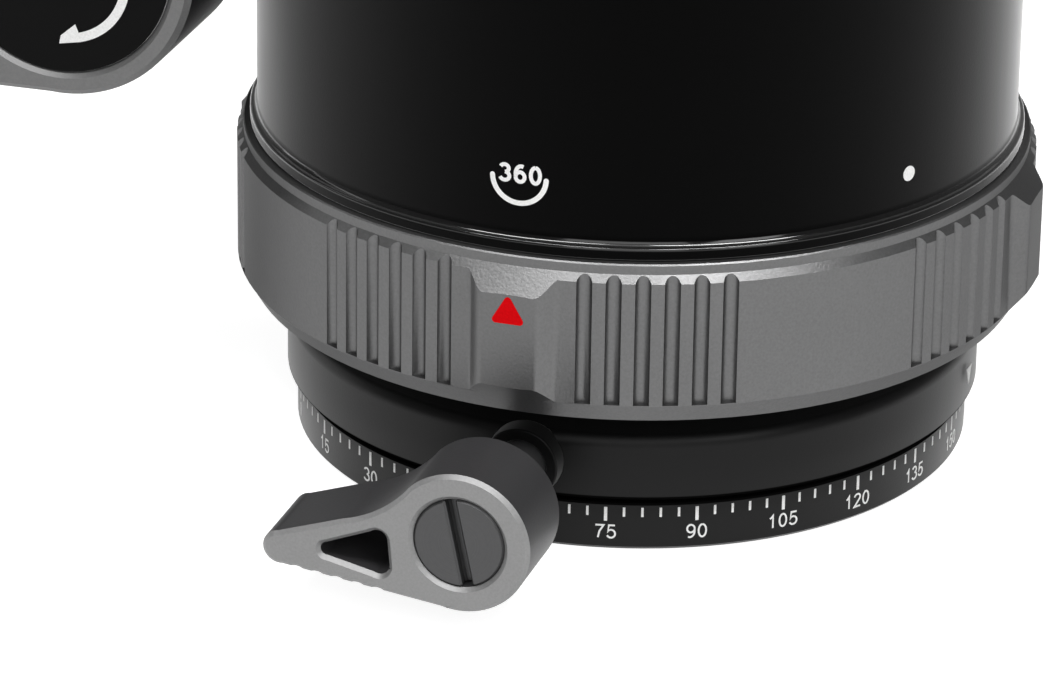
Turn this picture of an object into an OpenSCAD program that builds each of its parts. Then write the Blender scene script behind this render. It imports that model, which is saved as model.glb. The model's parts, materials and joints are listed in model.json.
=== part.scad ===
// Hybrid ball and fluid tripod head, sizes in millimetres.
// The origin is the centre of the base underside, Z is up and the front of the head faces minus Y.
// Azimuths run from the front (minus Y) towards plus X.

/* [Base] */
// Diameter of the base plate and its degree scale
base_d = 60; // [57:0.5:63]
// Height of the base plate
base_h = 4.35; // [4:0.05:5]
// Chamfer on the lower edge of the base plate
base_chamfer = 0.3; // [0.2:0.05:0.6]
// Radius of the tapped tripod bore, the tap drill of a 3/8-16 thread
thread_r = 3.97; // [3.9:0.01:4.1]
// Outer radius of the threaded insert
insert_r = 7; // [6.6:0.1:7.4]
// Length of the threaded insert
insert_h = 10; // [8.5:0.25:11]

/* [Pan housing] */
// Open gap between the base plate and the pan housing
pan_gap = 0.65; // [0.5:0.05:0.8]
// Radius by which the pan housing stands out over the base plate
pan_over = 0.9; // [0.6:0.1:1.4]
// Height of the straight wall of the pan housing
pan_wall_h = 4.9; // [4.7:0.1:5.5]
// Height of the rounded shoulder of the pan housing
pan_shoulder = 1.2; // [1:0.1:1.6]
// Radius of the hub on which the head pans
hub_r = 18; // [17.6:0.1:18.4]

/* [Mode ring] */
// Radius of the plain mode ring between its lobes
ring_r = 35.3; // [34.9:0.1:36]
// Height from the ring underside to its upper outer edge
ring_h = 12.9; // [12.4:0.1:13.4]
// Height of the lobes over the plain ring
lobe_out = 1.2; // [0.8:0.1:1.6]
// Radius of the half round flutes
flute_r = 0.7; // [0.5:0.05:0.8]
// Travel of the tilt key between the two ring settings
mode_lift = 1.8; // [1.2:0.1:2.2]

/* [Ball housing] */
// Radius of the cylindrical ball housing
body_r = 33.5; // [33.2:0.1:34]
// Radius of the ball
ball_r = 26; // [25.4:0.1:26.2]
// Radius of the neck above the ball
neck_r = 9.5; // [8.8:0.1:9.8]
// Distance from the ball centre to the underside of the clamp
clamp_up = 48; // [47.5:0.5:52]

/* [Lock levers] */
// Height of the pan lock axis above the underside
pan_lock_z = 8.3; // [8.2:0.05:8.4]
// Radius of the round end of the pan lever
pan_lever_r = 6.2; // [5.6:0.1:6.6]
// Distance from the pan lock axis to the centre of the lever tip
pan_lever_len = 16; // [15:0.2:18]
// Distance of the ball lock axis outside the ball housing
lock_out = 10.85; // [10.6:0.05:12]
// Height of the ball lock axis above the underside
lock_z = 46.3; // [46:0.1:47.5]
// Radius of the round end of the ball lock lever
lock_r = 12.5; // [12:0.1:12.6]
// Distance from the ball lock axis to the centre of the lever tip
lock_len = 33.8; // [31:0.2:35]

/* [Plate clamp] */
// Width of the clamp channel at its seat with the jaw closed
channel_w = 38.6; // [38:0.1:40]
// Length of the clamp along its channel
clamp_len = 50; // [48:1:58]
// Height of the clamp base below the seat
seat_h = 7; // [6.6:0.1:8]
// Radius of the clamp knob
knob_r = 8.4; // [7.8:0.1:8.6]
// Length of the clamp knob
knob_len = 12; // [10:0.5:13]

/* [Hidden] */
$fn = 96;
// Radial clearance of parts that turn or slide on one another
run_fit = 0.05;
// Face clearance between parts that turn on one another
face_gap = 0.05;
// Radial clearance of screws and pins in their holes
hole_fit = 0.04;
// Depth of countersunk heads under their faces
head_sink = 0.2;
// Clearance between the ball and its housing
ball_fit = 0.3;
base_r = base_d / 2;
pan_r = base_r + pan_over;
// Levels of the pan bearing
z_pan = base_h + pan_gap;
z_wall = z_pan + pan_wall_h;
z_sh = z_wall + pan_shoulder;
z_web = z_sh + 0.5;
washer_t = 0.6;
z_ret = z_web + washer_t + 2 * face_gap;
retainer_t = 2;
// Skirt of the ball housing in the mode ring and the neck ring of the pan housing inside it
skirt_r = ring_r - 4.35;
neck_ring_r = skirt_r - 2.55;
retainer_r = (hub_r + neck_ring_r) / 2 - 0.7;
// Circles of the screws through the hub and between the housings
hub_rc = (insert_r + hub_r) / 2;
joint_rc = (neck_ring_r + retainer_r + 0.5) / 2;
z_flange = z_ret + retainer_t + 0.6;
flange_t = 2.7;
// Levels of the mode cam and the tilt key
z_cam = z_flange + flange_t + 0.2;
cam_t = 3.4;
cam_r = hub_r + 2.5;
room_r = (cam_r + skirt_r) / 2 + 0.275;
z_pin = z_cam + cam_t / 2;
pin_r = 1.2;
pin_az = [45, 165, 285];
mode_turn = 60;
z_key = z_cam + cam_t + 0.3;
key_flange_t = 1.5;
key_r = 7;
z_floor = z_key + key_flange_t + mode_lift + 0.2;
z_seat = z_floor + 3.5;
// Ball, neck and rim
ball_z = z_seat + ball_r - 0.5;
bore_r = ball_r + ball_fit;
cup_r = ball_r - 1.5;
// Opening of the rim and the top of the housing below the collar
rim_up = ball_r * 0.48;
z_rim = ball_z + rim_up;
collar_h = 2.5;
z_top = z_rim - collar_h;
// Cup liner between two levels under the ball centre
liner_low = ball_r * 0.923;
liner_top = ball_r * 0.6346;
liner_in = ball_r / 2;
z_neck = ball_z + ball_r - 2.5;
z_clamp = ball_z + clamp_up;
boss_h = 6;
boss_r = 17;
spigot_r = 6;
spigot_h = 3.8;
// Mode ring levels
z_ring = z_flange - 0.8;
ring_low = 1.8;
ring_in = skirt_r + run_fit;
lip_r = ring_r - 0.55;
flute_rc = lip_r + 0.05 + flute_r;
z_edge = z_ring + ring_h;
z_lip = z_edge + 1.5;
lobe_r = ring_r + lobe_out;
z_body = z_lip + 2 * face_gap;
// Foot of the ball housing: its top, how far it stands out, its rounded edge and the cove over it
z_foot = z_body + 1.1;
foot_out = 0.65;
foot_round = 0.25;
cove_h = 0.8;
// Pan lock along minus Y
stud_r = 2.2;
bush_r = 2.9;
boss_disc_r = 3.3;
spot_y = pan_r - 0.7;
boss_y = pan_r + 1.6;
lever_y0 = boss_y + 8.1;
pan_lever_t = 8.5;
lever_y1 = lever_y0 + pan_lever_t;
shoe_w = 8;
shoe_h = 4.3;
shoe_gap = 0.6;
shoe_back = hub_r + 4;
// Ball lock along minus Y
lug_r = 8.5;
lock_x = body_r + lock_out;
lug_y = 11.6;
lock_y0 = lug_y + 0.6;
lock_t = 13.8;
lock_y1 = lock_y0 + lock_t;
cap_r = lock_r - 2.1;
cap_t = 1.2;
bolt_r = 4;
// Clamp levels
z_seat_top = z_clamp + seat_h;
half_w = channel_w / 2;
jaw_up = 5;
z_jaw = z_seat_top + jaw_up;
jaw_t = 10.7;
jaw_in = half_w - 1.3;
jaw_gap = 0.4;
z_screw = z_clamp + seat_h / 2;
screw_r = 2.2;
rod_r = 1.4;
rod_x = clamp_len / 2 - 8;
// Rubber strips of the seat
strip_y = half_w - 5.3;
strip_w = 3;
strip_end = 3;
knob_y = half_w + jaw_t + 1;

// Cylinder lying along Y from y0 to y1
module ycyl(r, y0, y1) {
  translate([0, y1, 0])
    rotate([90, 0, 0])
      cylinder(r = r, h = y1 - y0);
}

// Cylinder standing out along an azimuth from radius r0 to r1 at height z
module radial(r, r0, r1, az, z) {
  rotate([0, 0, az])
    translate([0, 0, z])
      ycyl(r, -r1, -r0);
}

// Ring between two radii
module ring(ro, ri, z0, z1) {
  translate([0, 0, z0])
    difference() {
      cylinder(r = ro, h = z1 - z0);
      translate([0, 0, -1])
        cylinder(r = ri, h = z1 - z0 + 2);
    }
}

// Flat outline of a lever, a round end at the origin and a small tip towards minus X
module lever_outline(R, r, L, arm, throat) {
  q = acos((R - r) / L);
  dn = [-cos(q), -sin(q)];
  up = [-sin(arm), cos(arm)];
  // the arm starts a little inside its two round ends, and the throat circle is sunk as much into it
  sink = 0.05;
  tip = [-L, 0] + (r - sink) * up;
  rb = R * throat;
  h = tip * up + rb - sink;
  d = R + rb - sink;
  c = h * up - sqrt(d * d - h * h) * [cos(arm), sin(arm)];
  foot = c - (rb - sink) * up;
  difference() {
    union() {
      circle(r = R);
      translate([-L, 0])
        circle(r = r);
      polygon([c * (R + 0.3) / d, foot, tip, [-L, 0] + (r - sink) * dn, (R - sink) * dn]);
    }
    translate(c)
      circle(r = rb);
  }
}

// Rounded triangular window in a lever arm
module lever_window(x0, x1, h0, h1, r) {
  union() {
    polygon([[-x0, h0], [-x1, h1], [-x1, -h1], [-x0, -h0]]);
    translate([-x0, h0 - r])
      circle(r = r);
    translate([-x0, r - h0])
      circle(r = r);
    translate([-x1, 0])
      circle(r = h1);
    translate([-x0, r - h0])
      square([r, 2 * (h0 - r)]);
  }
}

// Four countersunk screws on a circle, heads down; a hole for them is open below by mouth
module flat_screws(n, rc, rh, rs, z0, len, a0, mouth = 0) {
  for (i = [0 : n - 1])
    rotate([0, 0, a0 + i * 360 / n])
      translate([0, -rc, z0])
        rotate_extrude()
          polygon([[0, -mouth], [rh, -mouth], [rh, 0.3], [rs, 0.3 + rh - rs], [rs, len], [0, len]]);
}

// Black base plate, its rim carries the degree scale
module base_plate() {
  color([0.10, 0.10, 0.10])
    difference() {
      rotate_extrude()
        polygon([[insert_r + hole_fit, 0], [base_r - base_chamfer, 0], [base_r, base_chamfer],
          [base_r, base_h - 0.15], [base_r - 0.15, base_h], [insert_r + hole_fit, base_h]]);
      flat_screws(4, hub_rc, 3.5 + hole_fit, 2 + hole_fit, head_sink, 12, 45, 1);
      for (a = [0, 120, 240])
        rotate([0, 0, a])
          translate([0, -21, -1])
            cylinder(r = 2, h = 3);
    }
}

// Steel insert tapped for the tripod screw
module thread_insert() {
  color([0.70, 0.70, 0.72])
    ring(insert_r, thread_r, 0, insert_h);
}

// Hub with the brake groove, fixed on the base plate
module pan_hub() {
  color([0.55, 0.55, 0.57])
    difference() {
      rotate_extrude()
        polygon([[insert_r + hole_fit, base_h], [hub_r, base_h], [hub_r, pan_lock_z - 1.2],
          [hub_r - 0.5, pan_lock_z - 0.7], [hub_r - 0.5, pan_lock_z + 0.7], [hub_r, pan_lock_z + 1.2],
          [hub_r, z_ret], [5, z_ret], [5, insert_h + 0.2], [insert_r + hole_fit, insert_h + 0.2]]);
      flat_screws(4, hub_rc, 3.5 + hole_fit, 2 + hole_fit, head_sink, 10, 45, 1);
      for (a = [0, 90, 180, 270])
        rotate([0, 0, a])
          translate([0, -hub_rc, z_ret - 6])
            cylinder(r = 1.5 + hole_fit, h = 10);
    }
}

// Countersunk screws that hold the hub from below
module hub_screws() {
  color([0.45, 0.45, 0.47])
    flat_screws(4, hub_rc, 3.5, 2, head_sink, 9.6, 45);
}

// Plastic thrust washer under the pan housing
module lower_washer() {
  color([0.90, 0.88, 0.80])
    ring(base_r - 2, hub_r + 0.3, base_h, z_pan - face_gap);
}

// Plastic thrust washer over the web of the pan housing
module upper_washer() {
  color([0.90, 0.88, 0.80])
    ring(retainer_r - 0.2, hub_r + 0.3, z_web + face_gap, z_ret - 0.02);
}

// Disc that holds the pan housing down on the hub
module pan_retainer() {
  color([0.55, 0.55, 0.57])
    difference() {
      ring(retainer_r, 5, z_ret, z_ret + retainer_t);
      translate([0, 0, z_ret + retainer_t - head_sink])
        mirror([0, 0, 1])
          flat_screws(4, hub_rc, 2.6 + hole_fit, 1.5 + hole_fit, 0, 9, 0, 1);
    }
}

// Countersunk screws of the retaining disc
module retainer_screws() {
  color([0.45, 0.45, 0.47])
    translate([0, 0, z_ret + retainer_t - head_sink])
      mirror([0, 0, 1])
        flat_screws(4, hub_rc, 2.6, 1.5, 0, 7.4, 0);
}

// Black pan housing that turns over the base plate
module pan_housing() {
  fl = z_ring - 0.55;
  color([0.09, 0.09, 0.09])
    difference() {
      rotate_extrude()
        polygon(concat(
          [[hub_r + run_fit, z_pan], [pan_r - 0.4, z_pan], [pan_r, z_pan + 0.35]],
          [for (a = [0 : 15 : 60]) [pan_r - 1.4 + 1.4 * cos(a), z_wall + 1.385 * sin(a) * pan_shoulder / 1.2]],
          [[neck_ring_r + 0.1, z_web], [neck_ring_r + 0.1, fl - 0.85], [skirt_r + 0.25, fl - 0.85],
            [skirt_r + 0.25, fl], [neck_ring_r, fl], [neck_ring_r, z_flange],
            [retainer_r + 0.5, z_flange], [retainer_r + 0.5, z_web], [hub_r + run_fit, z_web]]));
      translate([0, 0, pan_lock_z])
        ycyl(boss_disc_r + hole_fit, -pan_r - 2, -spot_y);
      translate([0, 0, pan_lock_z])
        ycyl(bush_r + hole_fit, -pan_r - 2, -shoe_back - 3);
      translate([0, 0, pan_lock_z])
        ycyl(stud_r + 0.1, -pan_r, -shoe_back + 1);
      translate([-shoe_w / 2 - 0.1, -shoe_back - 0.4, pan_lock_z - shoe_h / 2 - 0.1])
        cube([shoe_w + 0.2, 8, shoe_h + 0.2]);
      for (a = [45, 135, 225, 315])
        rotate([0, 0, a])
          translate([0, -joint_rc, 0]) {
            translate([0, 0, z_pan - 1])
              cylinder(r = 1.5 + hole_fit, h = 20);
            translate([0, 0, z_pan - 1])
              cylinder(r = 2.75 + hole_fit, h = 4.2);
          }
    }
}

// Black collared bush in which the pan lock stud turns
module lock_bush() {
  color([0.12, 0.12, 0.12])
    translate([0, 0, pan_lock_z])
      difference() {
        union() {
          ycyl(boss_disc_r, -boss_y, -spot_y - 0.02);
          ycyl(bush_r, -boss_y, -shoe_back - 3.1);
        }
        ycyl(stud_r + run_fit, -boss_y - 1, -shoe_back);
      }
}

// Slot of the ball housing for one cam pin
module pin_slot(az) {
  rotate([0, 0, az - 90 - 4])
    rotate_extrude(angle = mode_turn + 8)
      translate([cam_r + 2, z_pin - pin_r - 0.2])
        square([skirt_r - cam_r, 2 * pin_r + 0.4]);
}

// Split black housing round the ball with the lug of the ball lock on its left
module ball_housing() {
  top = z_top;
  color([0.08, 0.08, 0.08])
    difference() {
      union() {
        rotate_extrude()
          polygon(concat(
            [[0, z_ring - 0.1], [skirt_r, z_ring - 0.1], [skirt_r, z_body],
              [body_r + foot_out - 0.1, z_body], [body_r + foot_out, z_body + 0.1]],
            [for (a = [0 : 15 : 90])
              [body_r + foot_out - foot_round * (1 - cos(a)), z_foot - foot_round * (1 - sin(a))]],
            [for (a = [15 : 15 : 90])
              [body_r + (foot_out - foot_round) * (1 - sin(a)), z_foot + cove_h * (1 - cos(a))]],
            [[body_r, top - 5], [body_r - 0.7, top - 2.5], [body_r - 2.6, top], [0, top]]));
        translate([-lock_x, 0, lock_z])
          ycyl(lug_r, -lug_y, lug_y);
        translate([-lock_x, -lug_y, lock_z - 7.1])
          cube([lock_x - body_r + 6, 2 * lug_y, lug_r + 7.1]);
      }
      // room for the pan bearing, the cam and the key
      translate([0, 0, z_ring - 1])
        cylinder(r = neck_ring_r + hole_fit, h = z_flange - z_ring + 1);
      translate([0, 0, z_ring])
        cylinder(r = cam_r + 0.5, h = z_floor - z_ring);
      translate([0, 0, z_flange + flange_t])
        cylinder(r = room_r, h = z_floor - z_flange - flange_t);
      translate([0, 0, z_ring])
        cylinder(r = key_r + 0.1, h = 20);
      for (a = pin_az)
        pin_slot(a);
      // ball, cup and collar
      translate([0, 0, z_seat])
        cylinder(r = cup_r + 0.1, h = ball_z - z_seat);
      translate([0, 0, ball_z])
        sphere(r = bore_r);
      translate([0, 0, ball_z])
        cylinder(r = bore_r, h = 20);
      translate([0, 0, top - 4])
        cylinder(r = bore_r + 2.1 + hole_fit, h = 10);
      // drop notch for the neck at the back
      translate([0, 0, ball_z])
        ycyl(neck_r + 0.6, 15, 50);
      translate([-neck_r - 0.6, 15, ball_z])
        cube([2 * neck_r + 1.2, 35, 40]);
      // slit of the clamp and its relief hole
      translate([-lock_x - 20, -0.8, ball_z - 16])
        cube([lock_x + 20 - bore_r + 9, 1.6, 60]);
      translate([-20, 0, ball_z - 16])
        rotate([0, -90, 0])
          cylinder(r = 1.9, h = 40);
      translate([-lock_x, 0, lock_z])
        ycyl(bolt_r + run_fit, -30, 30);
      translate([-lock_x, 0, lock_z])
        ycyl(6.6 + hole_fit, lug_y - 3, 30);
      for (a = [45, 135, 225, 315])
        rotate([0, 0, a])
          translate([0, -joint_rc, z_flange - 1])
            cylinder(r = 1.5 + hole_fit, h = 3.4);
      radial(2 + hole_fit, room_r - 1.5, skirt_r + 5, -100, z_pin + 3.4);
    }
}

// Socket screws that join the two housings
module housing_screws() {
  color([0.40, 0.40, 0.42])
    for (a = [45, 135, 225, 315])
      rotate([0, 0, a])
        translate([0, -joint_rc, 0])
          difference() {
            union() {
              translate([0, 0, z_pan + 0.2])
                cylinder(r = 2.75, h = 3);
              translate([0, 0, z_pan + 0.2])
                cylinder(r = 1.5, h = z_flange - z_pan + 2);
            }
            translate([0, 0, z_pan])
              cylinder(r = 1.45, h = 1.8, $fn = 6);
          }
}

// Thin ring that carries the mode ring, pinched between the two housings
module ring_retainer() {
  color([0.30, 0.30, 0.31])
    ring(ring_in + 1.4, neck_ring_r + hole_fit, z_ring - 0.53, z_ring - 0.12);
}

// Spring plunger that clicks the mode ring into its settings
module detent_plunger() {
  color([0.72, 0.72, 0.74])
    union() {
      radial(2, room_r + 0.2, skirt_r - 0.3, -100, z_pin + 3.4);
      radial(1, room_r + 0.5, skirt_r + 0.45, -100, z_pin + 3.4);
    }
}

// Nut of the clamp bolt let into the back of the lug
module clamp_nut() {
  color([0.45, 0.45, 0.47])
    translate([-lock_x, 0, lock_z])
      difference() {
        ycyl(6.6, lug_y - 2.95, lug_y + 1.4);
        ycyl(bolt_r + run_fit, -20, 30);
        for (x = [-1, 1])
          translate([x * 5.2, 0, 0])
            ycyl(0.8, lug_y - 0.2, lug_y + 3);
      }
}

// Grey collar that closes the housing over the ball
module top_collar() {
  top = z_top;
  color([0.36, 0.36, 0.37])
    difference() {
      rotate_extrude()
        polygon([[bore_r - 6, top - 3.9], [bore_r + 2.1, top - 3.9], [bore_r + 2.1, top + 0.02],
          [body_r - 2.9, top + 0.02], [body_r - 2.9, top + 1.4], [body_r - 4, z_rim], [bore_r - 6, z_rim]]);
      translate([0, 0, ball_z])
        sphere(r = bore_r);
      translate([0, 0, top - 2.6])
        cylinder(r = bore_r + 0.4, h = 1.4);
      translate([0, 0, z_rim - 1.2])
        cylinder(r1 = sqrt(bore_r * bore_r - 11.3 * 11.3), r2 = bore_r - 1.2, h = 1.25);
      translate([-neck_r - 0.6, 10, ball_z])
        cube([2 * neck_r + 1.2, 35, 40]);
    }
}

// Felt wiper in the groove of the collar
module collar_wiper() {
  top = z_top;
  color([0.16, 0.16, 0.16])
    difference() {
      ring(bore_r + 0.35, bore_r - 4, top - 2.55, top - 1.25);
      translate([0, 0, ball_z])
        sphere(r = ball_r + 0.12);
      translate([-neck_r - 0.6, 10, ball_z])
        cube([2 * neck_r + 1.2, 35, 40]);
    }
}

// Grey pan lever pointing left and slightly down
module pan_lever() {
  q = acos((pan_lever_r - 1.5) / pan_lever_len);
  color([0.52, 0.52, 0.53])
    translate([0, -lever_y0, pan_lock_z])
      rotate([90, 0, 0])
        rotate([0, 0, 10.2])
          difference() {
            linear_extrude(height = pan_lever_t)
              difference() {
                lever_outline(pan_lever_r, 1.5, pan_lever_len, 8.9, 1.68);
                translate([0, -1.3])
                  rotate(-5.15)
                    lever_window(7.3, pan_lever_len - 4.2, 2, 0.6, 0.9);
              }
            translate([0, 0, pan_lever_t - 2.6])
              cylinder(r = 3.95 + hole_fit, h = 5);
            translate([0, 0, -1])
              cylinder(r = stud_r + hole_fit, h = 20);
            // shallow grip notches along the lower edge
            for (i = [0 : 4])
              rotate([0, 0, 180 + q])
                translate([pan_lever_r + 1.03, -6.4 - 1.8 * i, -1])
                  cylinder(r = 1.2, h = 20);
          }
}

// Slotted screw in the face of the pan lever
module pan_lever_screw() {
  color([0.33, 0.33, 0.34])
    translate([0, -lever_y0 - pan_lever_t, pan_lock_z])
      rotate([90, 0, 0])
        difference() {
          union() {
            translate([0, 0, -2.55])
              cylinder(r = 3.95, h = 2.35);
            translate([0, 0, -5])
              cylinder(r = 1.3, h = 4);
          }
          rotate([0, 0, 12])
            translate([-0.45, -6, -1.3])
              cube([0.9, 12, 3]);
        }
}

// Steel stud that carries the pan lever and presses the brake shoe
module pan_stud() {
  color([0.60, 0.60, 0.62])
    translate([0, 0, pan_lock_z])
      difference() {
        ycyl(stud_r, -lever_y1 + 2.65, -shoe_back - 0.1);
        ycyl(1.3 + hole_fit, -lever_y1, -lever_y1 + 6);
      }
}

// Bronze shoe that brakes the hub
module brake_shoe() {
  color([0.70, 0.52, 0.25])
    difference() {
      translate([-shoe_w / 2, -shoe_back, pan_lock_z - shoe_h / 2])
        cube([shoe_w, 5, shoe_h]);
      translate([0, 0, pan_lock_z - shoe_h])
        cylinder(r = hub_r + shoe_gap, h = 2 * shoe_h);
    }
}

// Half of the rise of a lobe, from its foot to its flat
function lobe_rise(t) = t * t * (3 - 2 * t);

// Outline of one lobe at the front
module lobe_outline() {
  pts = concat(
    [for (i = [0 : 6]) [-6.9 + 3.4 * i / 6, ring_r - 0.12 + (lobe_out + 0.12) * lobe_rise(i / 6)]],
    [for (i = [6 : -1 : 0]) [6.9 - 3.4 * i / 6, ring_r - 0.12 + (lobe_out + 0.12) * lobe_rise(i / 6)]]);
  polygon(concat([[-3.6, -ring_in - 2]],
    [for (p = pts) [p[1] * sin(p[0]), -p[1] * cos(p[0])]], [[3.6, -ring_in - 2]]));
}

// Grey ring with four lobes and fluted grips that selects the mode
module mode_ring() {
  out = ring_r + lobe_out + 0.5;
  color([0.42, 0.42, 0.43])
    difference() {
      intersection() {
        translate([0, 0, z_ring])
          linear_extrude(height = z_lip - z_ring)
            difference() {
              union() {
                circle(r = ring_r, $fn = 180);
                for (a = [0 : 90 : 270])
                  rotate(a)
                    lobe_outline();
              }
              circle(r = ring_in, $fn = 180);
            }
        rotate_extrude($fn = 180)
          polygon([[ring_in - 2, z_ring - 1], [ring_r - 1.7, z_ring - 1], [ring_r - 0.1, z_ring + ring_low - 0.16],
            [out, z_ring + ring_low + (lobe_out + 0.5) * 1.125],
            [out, z_edge - (lobe_out + 0.5) * 1.2], [lip_r, z_edge + 0.6],
            [lip_r, z_lip - 0.12], [lip_r - 0.12, z_lip], [ring_in - 2, z_lip]]);
      }
      for (a = [0 : 90 : 270])
        for (s = [-1, 1])
          for (i = [0 : 5])
            rotate([0, 0, a + s * (10 + 4 * i)])
              translate([0, -flute_rc, z_ring + ring_low])
                cylinder(r = flute_r, h = 20, $fn = 24);
      for (a = pin_az)
        radial(pin_r + hole_fit, ring_in - 1, ring_in + 2.4, a, z_pin);
      rotate([0, 0, -90 - 100 - mode_turn - 3])
        rotate_extrude(angle = mode_turn + 6)
          translate([ring_in - 0.5, z_pin + 3.4 - 1.2])
            square([1.15, 2.4]);
    }
}

// Steel pins that join the ring to the cam through the slots of the housing
module cam_pins() {
  color([0.66, 0.66, 0.68])
    for (a = pin_az)
      radial(pin_r, cam_r - 3.6, ring_in + 2.3, a, z_pin);
}

// Cam with three ramps that lifts the tilt key
module mode_cam() {
  rm = 13.2;
  tilt = atan((mode_lift / 2) / (rm * sin(mode_turn / 2)));
  color([0.75, 0.62, 0.35])
    difference() {
      union() {
        difference() {
          ring(cam_r, 9, z_cam, z_cam + cam_t);
          ring(16.2, 10.2, z_cam + 1.2, z_cam + cam_t + 1);
        }
        for (a = [0, 120, 240])
          rotate([0, 0, a])
            intersection() {
              rotate([0, 0, -90 - mode_turn - 10])
                rotate_extrude(angle = mode_turn + 20)
                  translate([10.1, z_cam + 1.1])
                    square([6.2, cam_t - 1.1]);
              rotate([0, 0, -mode_turn / 2])
                translate([0, 0, z_cam + 1.2 + mode_lift / 2])
                  rotate([0, tilt, 0])
                    translate([-30, -30, -20])
                      cube([60, 60, 20]);
            }
      }
      for (a = pin_az)
        radial(pin_r + hole_fit, cam_r - 3.7, cam_r + 2, a, z_pin);
    }
}

// Spring loaded key that rises towards the groove of the ball in tilt mode
module tilt_key() {
  color([0.68, 0.68, 0.70])
    union() {
      translate([0, 0, z_key])
        cylinder(r = 15.6, h = key_flange_t);
      translate([0, 0, z_key])
        cylinder(r = key_r, h = z_floor - z_key + 0.3);
      translate([-1.7, -5.5, z_key])
        cube([3.4, 11, z_floor - z_key + 0.8]);
      for (a = [0, 120, 240])
        rotate([0, 0, a])
          translate([0, -13.2, z_cam + 1.75])
            cylinder(r = 1.3, h = z_key - z_cam - 1);
    }
}

// Grey lever of the ball lock, its tail left and down
module lock_lever() {
  color([0.52, 0.52, 0.53])
    translate([-lock_x, -lock_y0, lock_z])
      rotate([90, 0, 0])
        rotate([0, 0, 17.3])
          difference() {
            linear_extrude(height = lock_t)
              difference() {
                lever_outline(lock_r, 2.9, lock_len, 8.9, 1.5);
                translate([0, -2.4])
                  rotate(-5)
                    lever_window(lock_r + 2.6, lock_len - 7, 3.6, 1.1, 1.2);
              }
            translate([0, 0, lock_t - cap_t])
              cylinder(r = cap_r + hole_fit, h = 5);
            translate([0, 0, -1])
              cylinder(r = bolt_r + hole_fit, h = lock_t - 2.2);
          }
}

// Black disc let into the face of the ball lock lever
module lever_cap() {
  color([0.06, 0.06, 0.06])
    translate([-lock_x, 0, lock_z])
      ycyl(cap_r, -lock_y1 + 0.25, -lock_y1 + cap_t - 0.02);
}

// Bolt that draws the split housing together
module clamp_bolt() {
  color([0.60, 0.60, 0.62])
    translate([-lock_x, 0, lock_z])
      ycyl(bolt_r, -lock_y1 + 3.5, lug_y + 2.4);
}

// Thrust washer between the lever and the lug
module lever_washer() {
  color([0.75, 0.60, 0.30])
    translate([-lock_x, 0, lock_z])
      difference() {
        ycyl(lug_r - 0.5, -lock_y0 + 0.02, -lug_y - face_gap);
        ycyl(bolt_r + hole_fit, -20, 20);
      }
}

// Friction cup under the ball
module ball_cup() {
  color([0.70, 0.70, 0.66])
    difference() {
      ring(cup_r, 11, z_seat + 2 * face_gap, ball_z - 16);
      translate([0, 0, ball_z])
        sphere(r = ball_r + 0.9);
    }
}

// Slippery liner between the cup and the ball
module cup_liner() {
  color([0.92, 0.90, 0.84])
    difference() {
      intersection() {
        translate([0, 0, ball_z])
          sphere(r = ball_r + 0.88);
        ring(cup_r - 2, liner_in, ball_z - liner_low, ball_z - liner_top);
      }
      translate([0, 0, ball_z])
        sphere(r = ball_r + 0.1);
    }
}

// Ball with the key groove below and a flat for the neck above
module ball() {
  color([0.14, 0.14, 0.15])
    difference() {
      translate([0, 0, ball_z])
        sphere(r = ball_r);
      translate([-20, -20, z_neck])
        cube([40, 40, 10]);
      translate([0, 0, z_neck - 12])
        cylinder(r = 5 + hole_fit, h = 20);
      translate([0, 0, ball_z - ball_r - 1])
        intersection() {
          translate([-1.9, -11, 0])
            cube([3.8, 22, 3.2]);
          translate([0, 0, ball_r + 1])
            rotate([0, 90, 0])
              translate([0, 0, -5])
                difference() {
                  cylinder(r = ball_r + 2, h = 10);
                  translate([0, 0, -1])
                    cylinder(r = ball_r - 1.6, h = 12);
                }
        }
    }
}

// Waisted neck with a spigot at each end
module neck_post() {
  zt = z_clamp - boss_h - 0.3;
  color([0.14, 0.14, 0.15])
    difference() {
      rotate_extrude()
        polygon([[0, z_neck - 11.8], [5, z_neck - 11.8], [5, z_neck + 0.02], [neck_r, z_neck + 0.02],
          [neck_r, z_neck + 2.5], [neck_r - 0.9, z_neck + 4.5], [neck_r - 0.9, zt - 4.5],
          [neck_r, zt - 2.5], [neck_r, zt], [spigot_r, zt], [spigot_r, zt + spigot_h], [0, zt + spigot_h]]);
      translate([0, 0, zt - 11.6])
        cylinder(r = 3 + run_fit, h = 30);
    }
}

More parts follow.
